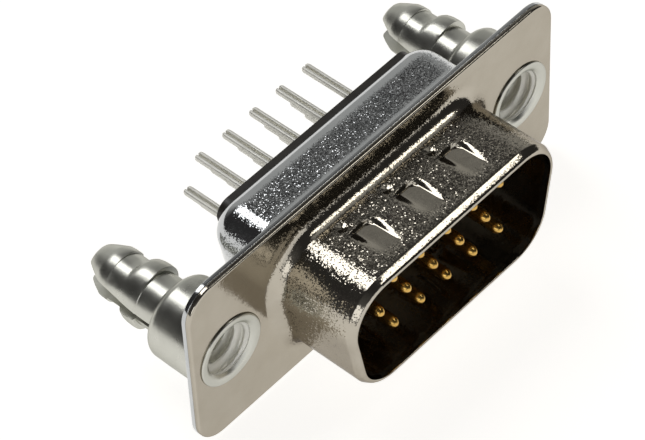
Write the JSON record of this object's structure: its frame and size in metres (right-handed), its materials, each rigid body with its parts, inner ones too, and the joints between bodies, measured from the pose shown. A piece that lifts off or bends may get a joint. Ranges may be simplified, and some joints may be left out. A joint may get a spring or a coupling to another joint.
{
  "type": "d-sub connector",
  "caption": "Male D-sub plug for a circuit board: a D-shaped metal shroud around slim gold pins, a flanged shell, threaded split board locks and straight solder tails.",
  "frame": {"origin": "centre of the flange's front face", "axes": "+X along the flange, -Y the way the plug goes into its socket, +Z towards the wide side of the D"},
  "size_m": [0.0308, 0.0161, 0.0126],
  "materials": {
    "nickel_shell": "bright nickel plating on drawn steel, satin on the flange",
    "tinned_shell": "bright tin plating on drawn steel, finely crystalline",
    "black_moulding": "black moulded thermoplastic",
    "contact_metal": "gold flash on the pins, tin on the tails",
    "lock_metal": "bright tin plating on turned brass"
  },
  "bodies": {
    "root": {"front_shell": "nickel_shell", "rear_shell": "tinned_shell", "front_insulator": "black_moulding", "rear_insulator": "black_moulding", "contact_01": "contact_metal", "contact_02": "contact_metal", "contact_03": "contact_metal", "contact_04": "contact_metal", "contact_05": "contact_metal", "contact_06": "contact_metal", "contact_07": "contact_metal", "contact_08": "contact_metal", "contact_09": "contact_metal", "contact_10": "contact_metal", "contact_11": "contact_metal", "contact_12": "contact_metal", "contact_13": "contact_metal", "contact_14": "contact_metal", "contact_15": "contact_metal", "board_lock_left": "lock_metal", "board_lock_right": "lock_metal"}
  },
  "joints": []
}
